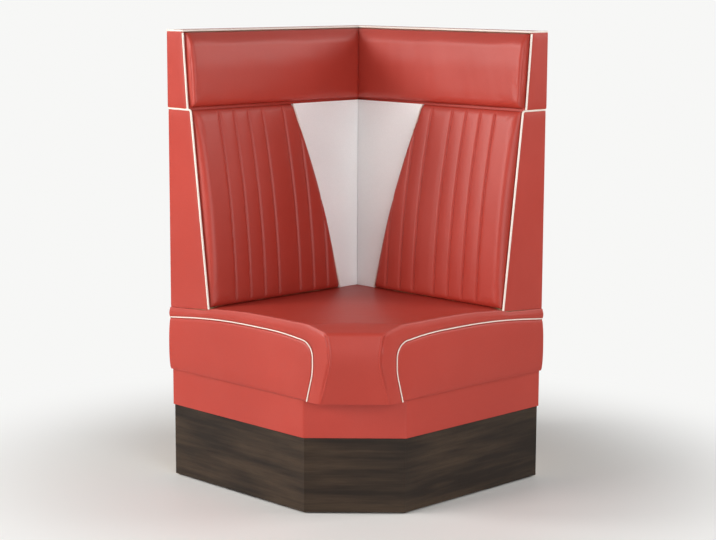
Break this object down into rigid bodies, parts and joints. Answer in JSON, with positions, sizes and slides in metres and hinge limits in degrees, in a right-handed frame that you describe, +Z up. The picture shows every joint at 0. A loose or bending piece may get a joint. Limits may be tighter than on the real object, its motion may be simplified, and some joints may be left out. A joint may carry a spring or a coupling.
{
  "type": "restaurant booth corner seat",
  "caption": "Corner unit of restaurant booth seating: padded seat with rolled nose on a plinth, fluted padded backs and head rolls along both walls.",
  "frame": {"origin": "under the middle of the unit's box, on the floor", "axes": "+Z up; the walls lie along +Y behind the right wing and along -X behind the left wing, so the room's corner is at -X +Y and the rolled nose faces +X -Y"},
  "size_m": [0.718, 0.718, 1.217],
  "materials": {
    "red_vinyl": "semi-matt upholstery vinyl with a fine grain",
    "pale_vinyl": "semi-matt pale upholstery vinyl",
    "pale_piping": "smooth pale vinyl piping",
    "dark_laminate": "dark brown wood-grain laminate with a satin sheen",
    "plywood": "raw plywood",
    "softwood": "raw softwood",
    "hardboard": "smooth hardboard",
    "foam": "open-cell upholstery foam",
    "nylon": "black nylon",
    "zinc_steel": "zinc-plated steel"
  },
  "bodies": {
    "root": {"back_bolts": "zinc_steel", "back_cheek_left": "plywood", "back_cheek_right": "plywood", "back_cover_left": "red_vinyl", "back_cover_right": "red_vinyl", "back_panel_left": "plywood", "back_panel_right": "plywood", "back_piping_left": "pale_piping", "back_piping_right": "pale_piping", "back_ribs_left": "plywood", "back_ribs_right": "plywood", "corner_blocks": "softwood", "corner_post": "softwood", "deck_bearers": "softwood", "floor_glides": "nylon", "head_cheek_left": "plywood", "head_cheek_right": "plywood", "head_cover_left": "red_vinyl", "head_cover_right": "red_vinyl", "head_foam_left": "foam", "head_foam_right": "foam", "head_panel_left": "plywood", "head_panel_right": "plywood", "head_piping_left": "pale_piping", "head_piping_right": "pale_piping", "head_roll_cover_left": "red_vinyl", "head_roll_cover_right": "red_vinyl", "head_top_left": "plywood", "head_top_right": "plywood", "inlay_panel_left": "pale_vinyl", "inlay_panel_right": "pale_vinyl", "inlay_piping_left": "pale_piping", "inlay_piping_right": "pale_piping", "pad_cover_left": "red_vinyl", "pad_cover_right": "red_vinyl", "pad_foam_left": "foam", "pad_foam_right": "foam", "plinth_back_left": "softwood", "plinth_back_right": "softwood", "plinth_end_left": "dark_laminate", "plinth_end_right": "dark_laminate", "plinth_front": "dark_laminate", "rail_back_left": "softwood", "rail_back_right": "softwood", "rail_cover": "red_vinyl", "rail_end_left": "softwood", "rail_end_right": "softwood", "rail_front": "softwood", "rear_panel_left": "hardboard", "rear_panel_right": "hardboard", "seat_board": "plywood", "seat_cover": "red_vinyl", "seat_deck": "plywood", "seat_facing_left": "red_vinyl", "seat_facing_right": "red_vinyl", "seat_foam": "foam", "seat_ledgers": "softwood", "seat_piping_left": "pale_piping", "seat_piping_right": "pale_piping"}
  },
  "joints": []
}
